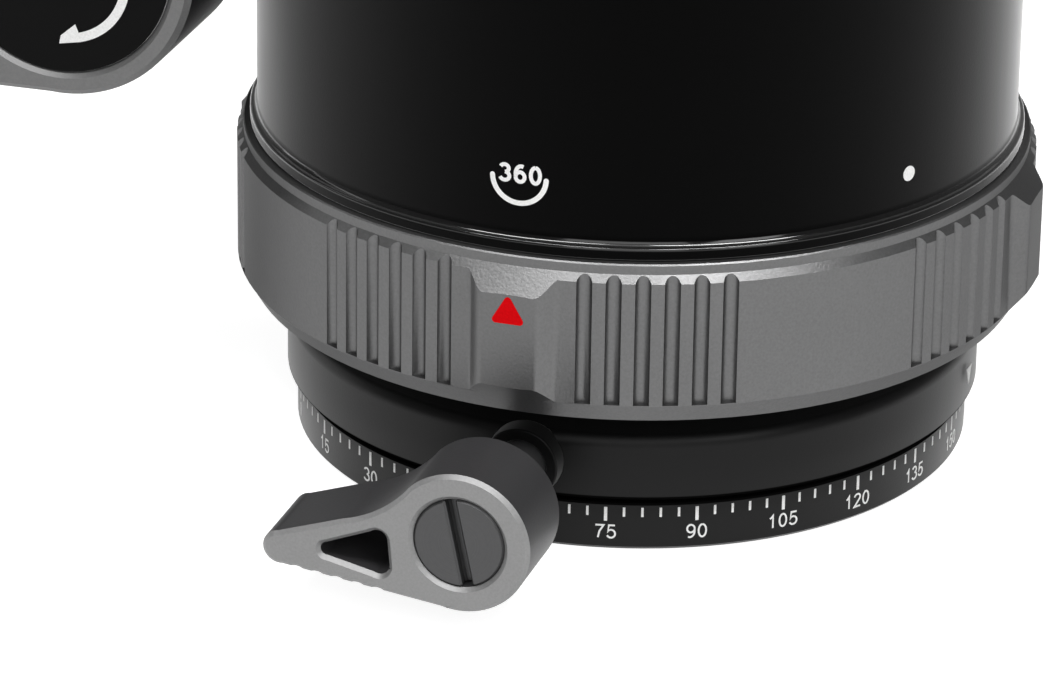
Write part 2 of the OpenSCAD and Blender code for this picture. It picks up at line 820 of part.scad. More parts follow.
// Clamp base with the fixed jaw at the back
module clamp_base() {
  color([0.10, 0.10, 0.10])
    difference() {
      union() {
        translate([-clamp_len / 2, 0, 0])
          rotate([90, 0, 90])
            linear_extrude(height = clamp_len)
              polygon([[-jaw_in + jaw_gap, z_clamp], [half_w + jaw_t - 1.2, z_clamp],
                [half_w + jaw_t, z_clamp + 1.2], [half_w + jaw_t, z_jaw - 0.8],
                [half_w + jaw_t - 0.8, z_jaw], [half_w - 3.1, z_jaw], [half_w - 3.1, z_seat_top + 4.3],
                [half_w, z_seat_top + 1.2], [half_w, z_seat_top], [-jaw_in + jaw_gap, z_seat_top]]);
        translate([0, 0, z_clamp - boss_h])
          rotate_extrude()
            polygon([[0, 0], [boss_r - 2.4, 0], [boss_r, 2.4], [boss_r, boss_h + 0.5], [0, boss_h + 0.5]]);
      }
      translate([0, 0, z_clamp - boss_h - 1])
        cylinder(r = spigot_r + run_fit, h = spigot_h + 1);
      translate([0, 0, z_clamp - boss_h - 1])
        cylinder(r = 3 + hole_fit, h = 40);
      translate([0, 0, z_clamp + 1.8])
        cylinder(r = 5 + hole_fit, h = 20);
      translate([0, 0, z_screw])
        ycyl(screw_r + run_fit, -40, -5.6);
      for (x = [-rod_x, rod_x])
        translate([x, 0, z_screw])
          ycyl(rod_r + run_fit, -40, -1);
      translate([rod_x - 1, 6, z_seat_top - 4.2])
        cylinder(r = 5.6 + hole_fit, h = 10);
      for (y = [-strip_y, strip_y])
        translate([-clamp_len / 2 + strip_end - hole_fit, y - strip_w / 2 - hole_fit, z_seat_top - 0.9])
          cube([clamp_len - 2 * strip_end + 2 * hole_fit, strip_w + 2 * hole_fit, 3]);
    }
}

// Socket screw that holds the clamp on the neck
module centre_screw() {
  color([0.50, 0.50, 0.52])
    difference() {
      union() {
        translate([0, 0, z_clamp + 1.82])
          cylinder(r = 5, h = 4.2);
        translate([0, 0, z_clamp - boss_h - 10])
          cylinder(r = 3, h = boss_h + 13);
      }
      translate([0, 0, z_clamp + 3.4])
        cylinder(r = 2.9, h = 5, $fn = 6);
    }
}

// Cup of the bubble level let into the seat
module level_cup() {
  color([0.75, 0.75, 0.76])
    translate([rod_x - 1, 6, 0])
      difference() {
        translate([0, 0, z_seat_top - 4.15])
          cylinder(r = 5.6, h = 4.05);
        translate([0, 0, z_seat_top - 3.4])
          cylinder(r = 4.8 + hole_fit, h = 5);
      }
}

// Sealed vial of the bubble level
module level_vial() {
  color([0.65, 0.80, 0.25])
    translate([rod_x - 1, 6, z_seat_top - 3.38])
      cylinder(r = 4.8, h = 3.1);
}

// Rubber strips in the clamp seat
module seat_strips() {
  color([0.05, 0.05, 0.05])
    for (y = [-strip_y, strip_y])
      translate([-clamp_len / 2 + strip_end, y - strip_w / 2, z_seat_top - 0.88])
        cube([clamp_len - 2 * strip_end, strip_w, 0.98]);
}

// Sliding jaw at the front of the clamp
module moving_jaw() {
  color([0.12, 0.12, 0.12])
    difference() {
      translate([-clamp_len / 2, 0, 0])
        rotate([90, 0, 90])
          linear_extrude(height = clamp_len)
            polygon([[-half_w - jaw_t + 1.2, z_clamp], [-jaw_in, z_clamp], [-jaw_in, z_seat_top - 0.1],
              [-half_w, z_seat_top - 0.1], [-half_w, z_seat_top + 1.2], [-half_w + 3.1, z_seat_top + 4.3],
              [-half_w + 3.1, z_jaw], [-half_w - jaw_t + 0.8, z_jaw], [-half_w - jaw_t, z_jaw - 0.8],
              [-half_w - jaw_t, z_clamp + 1.2]]);
      translate([0, 0, z_screw])
        ycyl(screw_r + run_fit, -60, 0);
      for (x = [-rod_x, rod_x])
        translate([x, 0, z_screw])
          ycyl(rod_r + hole_fit, -half_w - 7, 0);
    }
}

// Steel guide rods of the jaw
module guide_rods() {
  color([0.66, 0.66, 0.68])
    for (x = [-rod_x, rod_x])
      translate([x, 0, z_screw])
        ycyl(rod_r, -half_w - 6.9, -2);
}

// Fluted knob of the plate clamp
module clamp_knob() {
  color([0.10, 0.10, 0.10])
    translate([0, 0, z_screw])
      difference() {
        union() {
          ycyl(knob_r, -knob_y - knob_len, -knob_y - 2.4);
          ycyl(knob_r - 2, -knob_y - 4, -knob_y);
        }
        for (i = [0 : 11])
          rotate([0, i * 30, 0])
            translate([0, 0, knob_r + 0.55])
              ycyl(1.6, -knob_y - knob_len - 1, -knob_y - 2);
        ycyl(screw_r + hole_fit, -knob_y - knob_len + 1.6, 0);
        ycyl(6 + hole_fit, -knob_y - knob_len - 1, -knob_y - knob_len + 1);
      }
}

// Screw of the plate clamp
module clamp_screw() {
  color([0.66, 0.66, 0.68])
    translate([0, 0, z_screw])
      ycyl(screw_r, -knob_y - knob_len + 1.8, -6.2);
}

// Washer between the knob and the jaw
module knob_washer() {
  color([0.75, 0.60, 0.30])
    translate([0, 0, z_screw])
      difference() {
        ycyl(5, -knob_y + 0.02, -half_w - jaw_t - face_gap);
        ycyl(screw_r + hole_fit, -80, 0);
      }
}

// Plain disc in the face of the clamp knob
module knob_cap() {
  color([0.42, 0.42, 0.43])
    translate([0, 0, z_screw])
      ycyl(6, -knob_y - knob_len - 0.2, -knob_y - knob_len + 0.98);
}

base_plate();
thread_insert();
pan_hub();
hub_screws();
lower_washer();
upper_washer();
pan_retainer();
retainer_screws();
pan_housing();
lock_bush();
ball_housing();
housing_screws();
ring_retainer();
detent_plunger();
clamp_nut();
top_collar();
collar_wiper();
pan_lever();
pan_lever_screw();
pan_stud();
brake_shoe();
mode_ring();
cam_pins();
mode_cam();
tilt_key();
lock_lever();
lever_cap();
clamp_bolt();
lever_washer();
ball_cup();
cup_liner();
ball();
neck_post();
clamp_base();
centre_screw();
level_cup();
level_vial();
seat_strips();
moving_jaw();
guide_rods();
clamp_knob();
clamp_screw();
knob_washer();
knob_cap();
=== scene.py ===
# %% [markdown]
# # A tripod head with a lever-locked ball
# The head is a black split housing round a ball, a grey ring with four lobes, a panning base with a
# degree scale, two levers and a plate clamp on top. The solids come from the CAD model, already in
# place and in metres, so this lesson only dresses them: edges, finishes, printed marks, light,
# camera. Small sizes are written in millimetres, as a maker reads them, and multiplied by MM.

# %% The frame
import json
import math

import bmesh
import bpy
from mathutils import Matrix, Vector


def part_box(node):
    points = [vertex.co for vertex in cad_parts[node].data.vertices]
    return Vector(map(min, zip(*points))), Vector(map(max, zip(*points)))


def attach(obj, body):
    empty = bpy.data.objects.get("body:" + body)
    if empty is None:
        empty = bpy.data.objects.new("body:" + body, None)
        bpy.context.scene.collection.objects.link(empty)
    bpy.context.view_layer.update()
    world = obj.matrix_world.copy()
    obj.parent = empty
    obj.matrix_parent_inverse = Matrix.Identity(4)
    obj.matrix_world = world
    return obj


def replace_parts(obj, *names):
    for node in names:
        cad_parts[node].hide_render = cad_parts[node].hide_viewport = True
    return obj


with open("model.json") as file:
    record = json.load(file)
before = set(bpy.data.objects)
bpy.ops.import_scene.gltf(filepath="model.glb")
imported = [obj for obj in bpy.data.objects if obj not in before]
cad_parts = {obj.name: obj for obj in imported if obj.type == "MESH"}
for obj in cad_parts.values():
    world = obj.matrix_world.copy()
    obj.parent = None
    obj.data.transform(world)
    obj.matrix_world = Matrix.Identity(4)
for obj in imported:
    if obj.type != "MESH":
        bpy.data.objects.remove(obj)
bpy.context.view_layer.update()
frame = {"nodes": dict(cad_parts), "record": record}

MM = 0.001
nodes = frame["nodes"]

# %% [markdown]
# ## Writing shader maths as expressions
# A finish is a graph of shader nodes. Adding the nodes by hand hides the idea behind the wiring, so
# one small class wraps a socket: operators on it add Math nodes, and `node` adds any other node.
# A finish then reads like the formula it is.

# %% A socket in an expression
class Wire:
    """An output socket that can be used in a Python expression."""

    def __init__(self, tree, out=None):
        self.tree = tree
        self.out = out

    def node(self, kind, settings, sockets, output=0):
        made = self.tree.nodes.new(kind)
        for key, value in settings.items():
            if key == "stops":
                ramp = made.color_ramp.elements
                while len(ramp) < len(value):
                    ramp.new(0.5)
                for element, (place, tone) in zip(ramp, value):
                    element.position = place
                    element.color = (tone, tone, tone, 1.0)
            else:
                setattr(made, key, value)
        for key, value in sockets.items():
            if isinstance(value, Wire):
                self.tree.links.new(value.out, made.inputs[key])
            else:
                made.inputs[key].default_value = value
        return Wire(self.tree, made.outputs[output]) if made.outputs else made

    def maths(self, operation, a, b):
        return self.node("ShaderNodeMath", {"operation": operation}, {0: a, 1: b})

    def __add__(self, other):
        return self.maths("ADD", self, other)

    def __sub__(self, other):
        return self.maths("SUBTRACT", self, other)

    def __rsub__(self, other):
        return self.maths("SUBTRACT", other, self)

    def __mul__(self, other):
        return self.maths("MULTIPLY", self, other)

    def __truediv__(self, other):
        return self.maths("DIVIDE", self, other)

    def __rtruediv__(self, other):
        return self.maths("DIVIDE", other, self)

    def __pow__(self, other):
        return self.maths("POWER", self, other)

    def __rpow__(self, other):
        return self.maths("POWER", other, self)

    def __lt__(self, other):
        return self.maths("LESS_THAN", self, other)

    def __gt__(self, other):
        return self.maths("GREATER_THAN", self, other)

    __radd__ = __add__
    __rmul__ = __mul__

    def mix(self, dark, light):
        """Colour between dark and light, with this value as the factor."""
        return self.node("ShaderNodeMix", {"data_type": "RGBA"}, {0: self, 6: dark, 7: light}, 2)


print("socket class ready")

# %% [markdown]
# ## What every finish starts with
# A grain needs coordinates to hang on. UV maps would have to be unwrapped for each solid, and world
# coordinates would let the grain slide when a joint moves. Object coordinates stay with the piece,
# so a lever keeps its grain while it turns. Noise gives the grain, and a band of heights picks out
# one stretch of a turned piece, such as a polished cove.

# %% Starting a finish
def grey(tone, tint=(1.0, 1.0, 1.0)):
    return (tone * tint[0], tone * tint[1], tone * tint[2], 1.0)


def begin(name):
    material = bpy.data.materials.new(name)
    material.use_nodes = True
    material.node_tree.nodes.clear()
    return material, Wire(material.node_tree)


def noise(wire, place, scale, detail=2.0):
    """Soft noise of about 0 to 1, with features about 1/scale metres across."""
    return wire.node("ShaderNodeTexNoise", {},
                     {"Vector": place, "Scale": scale, "Detail": detail}, "Fac")


def object_place(wire):
    return wire.node("ShaderNodeTexCoord", {}, {}, "Object")


def in_band(wire, place, low, high, soft=0.05):
    """1 between two heights in millimetres and 0 outside, with soft limits."""
    height = wire.node("ShaderNodeSeparateXYZ", {}, {"Vector": place}, "Z") / MM
    rise, fall = [wire.node("ShaderNodeMapRange", {"interpolation_type": "SMOOTHSTEP"}, {
        "Value": height, "From Min": z - soft, "From Max": z + soft}) for z in (low, high)]
    return rise * (1 - fall)


print("finish helpers ready")

# %% [markdown]
# ## What every finish ends with
# All the finishes end in one Principled shader, because other programs understand it too. Numbers
# that are the same all over a surface go straight onto the shader's own sockets, and only what
# varies is linked. Where shade falls in a gap between two parts, a painted shade is laid on. A
# darker colour alone would still shine, so a matt near-black shader is mixed over the shader there.

# %% Closing a finish
# tone of the matt painted shade that is mixed over a shaded gap between two parts
GAP_SHADE_TONE = 0.004


def close(material, wire, constants, **varying):
    """The Principled shader with its inputs, and a matt painted shade mixed over it by one mask."""
    sockets = {"Base Color": varying["colour"], "Roughness": varying["rough"]}
    for key, socket in (("metal", "Metallic"), ("coat", "Coat Weight")):
        if key in varying:
            sockets[socket] = varying[key]
    if "relief" in varying:
        height, depth, strength = varying["relief"]
        sockets["Normal"] = wire.node("ShaderNodeBump", {}, {
            "Strength": strength, "Distance": depth, "Height": height}, "Normal")
    sockets.update(constants)
    shader = wire.node("ShaderNodeBsdfPrincipled", {}, sockets)
    # painted shade: a near-black matt diffuse is mixed in where the mask marks a gap in shade
    if "shaded_gap" in varying:
        painted_shade = wire.node("ShaderNodeBsdfDiffuse", {}, {"Color": grey(GAP_SHADE_TONE)})
        shader = wire.node("ShaderNodeMixShader", {}, {0: varying["shaded_gap"], 1: shader, 2: painted_shade})
    wire.node("ShaderNodeOutputMaterial", {}, {"Surface": shader})
    return material


print("soot tone", GAP_SHADE_TONE)

# %% [markdown]
# ## Black anodised aluminium
# The housings, the base plate and the clamp are blasted with fine beads and dyed black. The blasting
# leaves a skin of tiny pits, which the eye reads as satin. A dark colour with some gloss would look
# like plastic. So noise at the size of the pits drives a shallow bump and a little of the roughness,
# and a slow cloud keeps large walls from looking flat. A sheen gives the glow that such a skin has
# where it turns away from the eye.

# %% The black finish
PIT, CLOUD = 5200.0, 70.0
PIT_DEPTH, PIT_RELIEF = 0.03 * MM, 0.16
COAT_ROUGH, SHEEN_ROUGH = 0.10, 0.34


def black_anodise(name, tone, rough, pit=PIT, sheen=1.0, gloss=0.0, polished=None, shaded_gap=None):
    """Optional bands of heights in millimetres: the polished one gets a coat, the other a painted shade.
    """
    material, wire = begin(name)
    place = object_place(wire)
    pits = noise(wire, place, pit)
    cloud = noise(wire, place, CLOUD, 4.0)
    blend = pits * 0.5 + cloud * 0.5
    constants = {"Metallic": 0.0, "Specular IOR Level": gloss, "Coat Roughness": COAT_ROUGH,
                 "Sheen Weight": sheen, "Sheen Roughness": SHEEN_ROUGH}
    bands = {}
    if polished:
        bands["coat"] = in_band(wire, place, *polished)
    # painted shade over the gap band, where shade falls between the two parts
    if shaded_gap:
        bands["shaded_gap"] = in_band(wire, place, *shaded_gap)
    return close(material, wire, constants, **bands,
                 colour=blend.mix(grey(tone * 0.6), grey(tone * 1.4, (0.98, 1.0, 1.02))),
                 rough=rough - 0.06 + pits * 0.08 + cloud * 0.05,
                 relief=(pits, PIT_DEPTH, PIT_RELIEF))


print("pits about", round(1 / PIT / MM, 2), "mm across")

# %% [markdown]
# ## The blacks of the head
# The black pieces differ a little: the body is the deepest, the panning base is greyer, the ball is
# polished. One black for all of them would make the head look like a single casting. The cove above
# the ring is polished too, and the gap over the scale gets a painted shade: a matt near-black laid
# over it where shade falls between the two parts. Both bands are measured from their neighbours in
# the frame, so they stay on their edges.

# %% Black pieces
COVE_OVER_RING = (0.95, 1.55)
# reach of the painted gap shade in millimetres, below the base top and above the housing foot
GAP_SHADE_BELOW, GAP_SHADE_ABOVE = 0.15, 0.42
ring_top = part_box("mode_ring")[1].z / MM
cove_band = [ring_top + rise for rise in COVE_OVER_RING]
shaded_gap_band = (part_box("base_plate")[1].z / MM - GAP_SHADE_BELOW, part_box("pan_housing")[0].z / MM + GAP_SHADE_ABOVE)
satin_black = black_anodise("satin_black", 0.0010, 0.36, gloss=0.03)
body_black = black_anodise("body_black", 0.0006, 0.36, polished=cove_band)
pan_black = black_anodise("pan_black", 0.0030, 0.40, sheen=0.6, gloss=0.16, shaded_gap=shaded_gap_band)
bush_black = black_anodise("bush_black", 0.0020, 0.40, sheen=0.25, gloss=0.1)
clamp_black = black_anodise("clamp_black", 0.012, 0.38, sheen=0.6, gloss=0.3)
ball_black = black_anodise("ball_black", 0.005, 0.22, pit=9000.0, sheen=0.3, gloss=0.3)
print("polished cove", [round(z, 2) for z in cove_band], "matt gap", [round(z, 2) for z in shaded_gap_band])

# %% [markdown]
# ## Grey blasted metal
# The ring shows its metal: a grey dye over a coarser blast. In the photograph its upper chamfer
# sparkles where it catches the light from above. Light dots in the colour would stay where they are
# when the light moves. Here the sparkle is only relief and a part-metallic shader under a soft
# light, so nothing is painted on.

# %% The grey finish
# how much of the mirror at a glancing angle the blasting leaves
RIM_SHEEN = 0.35
GRAIN_DEPTH = 0.04 * MM


def blasted_grey(name, tone, rough, grain=4200.0, relief=0.34):
    material, wire = begin(name)
    place = object_place(wire)
    grains = noise(wire, place, grain, 3.0)
    cloud = noise(wire, place, CLOUD, 4.0)
    blend = grains * 0.7 + cloud * 0.3
    return close(material, wire, {"Specular Tint": grey(RIM_SHEEN)},
                 colour=blend.mix(grey(tone * 0.72), grey(tone * 1.28, (1.0, 1.0, 1.01))),
                 metal=0.75 + cloud * 0.2,
                 rough=rough - 0.05 + grains * 0.1,
                 relief=(grains, GRAIN_DEPTH, relief))


ring_grey = blasted_grey("ring_grey", 0.128, 0.36)
collar_grey = blasted_grey("collar_grey", 0.15, 0.42)
bare_metal = blasted_grey("bare_metal", 0.50, 0.34, 6000.0, 0.15)
print("made", ring_grey.name, collar_grey.name, bare_metal.name)

# %% [markdown]
# ## Two-tone levers
# Each lever is dyed dark all over, then its front face is milled bright with a chamfer round it. Two
# materials on one mesh would need the faces to be picked out. The cut ends at one depth, so a plane
# at that depth splits the two finishes inside one material: on one side of it the milled grey, on
# the other the dark dye.

# %% The lever finish
LEVER_GRAIN, LEVER_CLOUD = 4600.0, 160.0
# the cut goes a little deeper than the chamfer, so that the chamfer is bright as well
PAST_CHAMFER = 1.05


def milled_lever(name, node, chamfer, face_tone, side_tone):
    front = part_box(node)[0].y
    material, wire = begin(name)
    place = object_place(wire)
    depth = wire.node("ShaderNodeSeparateXYZ", {}, {"Vector": place}, "Y")
    milled = depth < front + chamfer * PAST_CHAMFER
    grains = noise(wire, place, LEVER_GRAIN, 3.0)
    cloud = noise(wire, place, LEVER_CLOUD, 4.0)
    face = (grains * 0.75 + cloud * 0.25).mix(grey(face_tone * 0.78), grey(face_tone * 1.22))
    side = grains.mix(grey(side_tone * 0.75), grey(side_tone * 1.25, (1.0, 0.97, 1.05)))
    return close(material, wire, {"Specular IOR Level": 0.35},
                 colour=milled.mix(side, face),
                 metal=milled * 0.55,
                 rough=0.40 + grains * 0.1,
                 relief=(grains, GRAIN_DEPTH, 0.25))


PAN_CHAMFER = 0.35 * MM
LOCK_CHAMFER = 0.5 * MM
pan_lever_finish = milled_lever("pan_lever_finish", "pan_lever", PAN_CHAMFER, 0.225, 0.026)
lock_lever_finish = milled_lever("lock_lever_finish", "lock_lever", LOCK_CHAMFER, 0.14, 0.006)

# %% [markdown]
# ## Turned steel and bronze
# Screws, studs and washers come off a lathe, which leaves rings round their own axis. An anisotropic
# shader can stretch the highlight the same way, but it shows no ring up close. The rings here are
# one-dimensional noise of the distance from an axis, so each group of pieces names its axis.

# %% The turned finish
RING_SCALE, SPECK, RING_DEPTH = 9000.0, 3000.0, 0.01 * MM


def turned(name, tone, tint, rough, axis, centre, metal=1.0):
    material, wire = begin(name)
    place = object_place(wire)
    offset = wire.node("ShaderNodeVectorMath", {"operation": "SUBTRACT"},
                       {0: place, 1: centre}, "Vector")
    u, v = [wire.node("ShaderNodeSeparateXYZ", {}, {"Vector": offset}, a) for a in "XYZ" if a != axis]
    radius = (u * u + v * v) ** 0.5
    rings = wire.node("ShaderNodeTexNoise", {"noise_dimensions": "1D"},
                      {"W": radius, "Scale": RING_SCALE, "Detail": 1.0}, "Fac")
    specks = noise(wire, place, SPECK)
    blend = rings * 0.6 + specks * 0.4
    return close(material, wire, {"Metallic": metal},
                 colour=blend.mix(grey(tone * 0.8, tint), grey(tone * 1.2, tint)),
                 rough=rough - 0.05 + rings * 0.12,
                 relief=(rings, RING_DEPTH, 0.2))


STEEL = (1.0, 1.0, 1.02)
BRONZE = (1.0, 0.72, 0.36)
pan_axis_z = (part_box("pan_stud")[0].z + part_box("pan_stud")[1].z) / 2
HEAD_AXIS = (0.0, 0.0, 0.0)
bright_steel = turned("bright_steel", 0.52, STEEL, 0.28, "Z", HEAD_AXIS)
dark_steel = turned("dark_steel", 0.065, STEEL, 0.40, "Y", (0.0, 0.0, pan_axis_z), 0.7)
warm_bronze = turned("warm_bronze", 0.50, BRONZE, 0.30, "Z", HEAD_AXIS)
print("pan lock axis at z", round(pan_axis_z / MM, 2), "mm")

# %% [markdown]
# ## Small soft and clear parts
# Besides the metal there are white plastic washers, a felt wiper, rubber strips in the clamp seat,
# the printed marks and the vial of the bubble level. A flat colour would do from afar, but not in a
# close view. One graph serves them all, with a scale and a relief for each: deep for felt, shallow
# for plastic and print. The vial alone is a clear tinted liquid.

# %% Plastic, felt, rubber and liquid
def plain_grained(name, tone, tint, rough, grain, relief, depth, gloss=0.4):
    """A speckled finish; depth is the height of its relief in millimetres."""
    material, wire = begin(name)
    place = object_place(wire)
    grains = noise(wire, place, grain, 4.0)
    return close(material, wire, {"Metallic": 0.0, "Specular IOR Level": gloss},
                 colour=grains.mix(grey(tone * 0.8, tint), grey(tone * 1.2, tint)),
                 rough=rough + grains * 0.1,
                 relief=(grains, depth * MM, relief))


white_plastic = plain_grained("white_plastic", 0.75, (1.0, 0.97, 0.9), 0.35, 900.0, 0.1, 0.02)
felt = plain_grained("felt", 0.02, (1.0, 1.0, 1.0), 0.85, 3500.0, 0.8, 0.1)
rubber = plain_grained("rubber", 0.014, (1.0, 1.0, 1.0), 0.6, 2500.0, 0.3, 0.05)
white_print = plain_grained("white_print", 0.76, (1.0, 1.0, 0.99), 0.45, 6000.0, 0.1, 0.01)
red_print = plain_grained("red_print", 0.58, (1.0, 0.002, 0.006), 0.5, 6000.0, 0.1, 0.01, 0.05)
black_print = plain_grained("black_print", 0.01, (1.0, 1.0, 1.0), 0.4, 6000.0, 0.1, 0.01)


def vial_liquid():
    material, wire = begin("vial_liquid")
    place = object_place(wire)
    swirl = noise(wire, place, 300.0)
    return close(material, wire, {"Transmission Weight": 0.75, "IOR": 1.4, "Metallic": 0.0},
                 colour=swirl.mix((0.62, 0.80, 0.12, 1.0), (0.70, 0.86, 0.18, 1.0)),
                 rough=0.04 + swirl * 0.03)


level_liquid = vial_liquid()
print("made", white_plastic.name, felt.name, rubber.name, level_liquid.name)

# %% [markdown]
# ## Broken edges and smooth walls
# A machined edge is never sharp: it has a small chamfer that catches a line of light. The CAD solids
# arrive as triangles with sharp edges, and their meshes have to stay as they are. So a stack of
# modifiers dresses each one. Weld joins the triangles, Decimate merges those in one plane, and Bevel
# breaks the edges. Edge Split keeps crisp edges crisp, and Weighted Normal shades the walls smooth.

# %% Edge widths and modifiers
# widths in millimetres, 0 where the solid has its chamfers already
EDGE = {"base_plate": 0.0, "pan_housing": 0.0, "ball_housing": 0.0, "mode_ring": 0.0,
        "clamp_base": 0.3, "moving_jaw": 0.3, "clamp_knob": 0.3, "top_collar": 0.15,
        "pan_lever_screw": 0.18, "lock_bush": 0.2, "pan_stud": 0.15, "clamp_nut": 0.2,
        "knob_cap": 0.15, "neck_post": 0.3, "lever_cap": 0.06, "ball": 0.2}
EDGE_DEFAULT = 0.08
EDGE_ANGLE, FLAT_ANGLE, WELD_REACH = math.radians(32), math.radians(0.4), 0.002 * MM
# pieces whose edges stay sharp in the shading, with the angle in degrees that counts as an edge
CRISP = {"pan_lever": 24, "lock_lever": 24, "mode_ring": 38, "pan_lever_screw": 24, "pan_housing": 24,
         "base_plate": 24, "ball_housing": 24}


def break_edges(node, width):
    obj = nodes[node]
    weld = obj.modifiers.new("weld", "WELD")
    weld.merge_threshold = WELD_REACH
    flats = obj.modifiers.new("flats", "DECIMATE")
    flats.decimate_type = "DISSOLVE"
    flats.angle_limit = FLAT_ANGLE
    if width:
        bevel = obj.modifiers.new("edges", "BEVEL")
        bevel.width = width
        bevel.segments = 1 if node in CRISP else 2
        bevel.use_clamp_overlap = node not in CRISP
        bevel.limit_method = "ANGLE"
        bevel.angle_limit = EDGE_ANGLE
    if node in CRISP:
        split = obj.modifiers.new("crisp", "EDGE_SPLIT")
        split.split_angle = math.radians(CRISP[node])
    normals = obj.modifiers.new("walls", "WEIGHTED_NORMAL")
    normals.weight = 100


EDGE.update({"pan_lever": PAN_CHAMFER / MM, "lock_lever": LOCK_CHAMFER / MM})
for node in nodes:
    break_edges(node, EDGE.get(node, EDGE_DEFAULT) * MM)
print("edges broken on", len(nodes), "nodes")

# %% [markdown]
# ## Giving each solid its finish
# The record names a material slot for each node. A line of code for each node would be long and easy
# to get wrong, so one table picks the finish by slot. A few nodes that share a slot but look
# different in the photograph get their own.

# %% Finishes by slot
BY_SLOT = {"black_anodised": satin_black, "grey_anodised": collar_grey,
           "lever_grey": lock_lever_finish, "bare_aluminium": bare_metal, "steel": bright_steel,
           "dark_steel": dark_steel, "bronze": warm_bronze, "white_plastic": white_plastic,
           "felt": felt, "rubber": rubber, "vial": level_liquid}
BY_NODE = {"ball_housing": body_black, "pan_housing": pan_black, "base_plate": pan_black,
           "lock_bush": bush_black, "mode_ring": ring_grey, "pan_lever": pan_lever_finish,
           "pan_stud": dark_steel, "ball": ball_black, "neck_post": ball_black,
           "clamp_base": clamp_black, "moving_jaw": clamp_black, "clamp_knob": clamp_black}
slots = {part["node"]: part["material_slot"] for part in frame["record"]["subparts"]}
for name, obj in nodes.items():
    finish = BY_NODE.get(name, BY_SLOT[slots[name]])
    obj.data.materials.clear()
    obj.data.materials.append(finish)
    for face in obj.data.polygons:
        face.material_index = 0
print({slot: sum(1 for s in slots.values() if s == slot) for slot in BY_SLOT})

# %% [markdown]
# ## Printed marks
# The marks on the head are thin films of paint. They could be part of the material's colour, but
# their edges would blur when the colour is baked into a picture. Each one is a real shape instead,
# drawn flat in millimetres with a pen that follows points: straight runs and arcs. The pen's two
# edges are worked out first, mitred at each bend, and its ends can be round.

# %% Pen strokes
def arc(cx, cy, rx, ry, start, end, steps):
    """Points on an ellipse from one angle to another, in degrees."""
    angles = [math.radians(start + (end - start) * i / steps) for i in range(steps + 1)]
    return [(cx + rx * math.cos(a), cy + ry * math.sin(a)) for a in angles]


def stroke_sides(points, width, rounded=False):
    """Left and right edges of a pen stroke that follows the points."""
    line = [Vector(p) for p in points]
    half = [width / 2] * len(line)
    if rounded:
        for at_start in (True, False):
            a, b = (line[0], line[1]) if at_start else (line[-1], line[-2])
            out = (a - b).normalized()
            for reach in (0.5, 0.85, 0.99):
                extra, thin = a + out * reach * width / 2, width / 2 * math.sqrt(1 - reach * reach)
                line.insert(0 if at_start else len(line), extra)
                half.insert(0 if at_start else len(half), thin)
    left, right = [], []
    for i, p in enumerate(line):
        before = (p - line[i - 1]).normalized() if i else (line[1] - p).normalized()
        after = (line[i + 1] - p).normalized() if i + 1 < len(line) else before
        along = (before + after).normalized()
        stretch = 1 / max(0.4, along.dot(after))
        across = Vector((-along.y, along.x)) * half[i] * stretch
        left.append(p + across)
        right.append(p - across)
    return left, right


print("pen ready")

# %% [markdown]
# ## Films of paint
# A sheet of faces that lies on a wall flickers against it and has no edge. So a film is a closed
# slab that stands a few hundredths of a millimetre proud of its surface and is sunk a little into
# it. A stroke is a slab between two edges, and a patch is a slab with an outline.

# %% Slabs
PROUD = 0.025 * MM
SUNK = 0.06 * MM


def add_stroke(bm, sides, place):
    """A closed slab between the two edges of a stroke."""
    rows = [[bm.verts.new(place(p.x, p.y, h)) for p in side] for side in sides for h in (PROUD, -SUNK)]
    left_top, left_low, right_top, right_low = rows
    for i in range(len(left_top) - 1):
        for a, b in ((left_top, right_top), (right_top, right_low), (right_low, left_low),
                     (left_low, left_top)):
            bm.faces.new((a[i], b[i], b[i + 1], a[i + 1]))
    for i in (0, -1):
        bm.faces.new([row[i] for row in (left_top, right_top, right_low, left_low)])


def add_patch(bm, outline, place):
    """A closed slab with any convex outline."""
    top = [bm.verts.new(place(x, y, PROUD)) for x, y in outline]
    low = [bm.verts.new(place(x, y, -SUNK)) for x, y in outline]
    bm.faces.new(top)
    bm.faces.new(list(reversed(low)))
    for i in range(len(top)):
        j = (i + 1) % len(top)
        bm.faces.new((top[i], low[i], low[j], top[j]))


print("films stand", round(PROUD / MM, 3), "mm proud")

# %% [markdown]
# ## Laying a film on a surface
# A Shrinkwrap modifier could press a flat shape onto a wall, but it would follow each facet. All
# these walls are cylinders or planes, so a small function bends the shape round the one or sets it
# on the other exactly. The piece then rides on the body that carries the surface, so it moves with
# that joint.

# %% Places and pieces
def round_cylinder(radius, azimuth, z):
    """Place on an upright cylinder: azimuth in degrees from the front towards the right."""
    def place(x, y, lift):
        a = math.radians(azimuth) + x * MM / radius
        r = radius + lift
        return (r * math.sin(a), -r * math.cos(a), z + y * MM)
    return place


def on_front(cx, cz, y):
    """Place on a plane that faces the front."""
    def place(u, v, lift):
        return (cx + u * MM, y - lift, cz + v * MM)
    return place


def add_piece(bm, name, finish):
    """A new object from a bmesh, with its faces turned outwards."""
    bmesh.ops.recalc_face_normals(bm, faces=bm.faces)
    mesh = bpy.data.meshes.new(name)
    bm.to_mesh(mesh)
    bm.free()
    mesh.materials.append(finish)
    obj = bpy.data.objects.new(name, mesh)
    bpy.context.scene.collection.objects.link(obj)
    print(name, "with", len(mesh.polygons), "faces")
    return obj


def film(name, body, finish, draw):
    """A piece of print: draw adds its slabs to a bmesh, and the piece rides on a body."""
    bm = bmesh.new()
    draw(bm)
    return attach(add_piece(bm, name, finish), body)


print("ready to print")

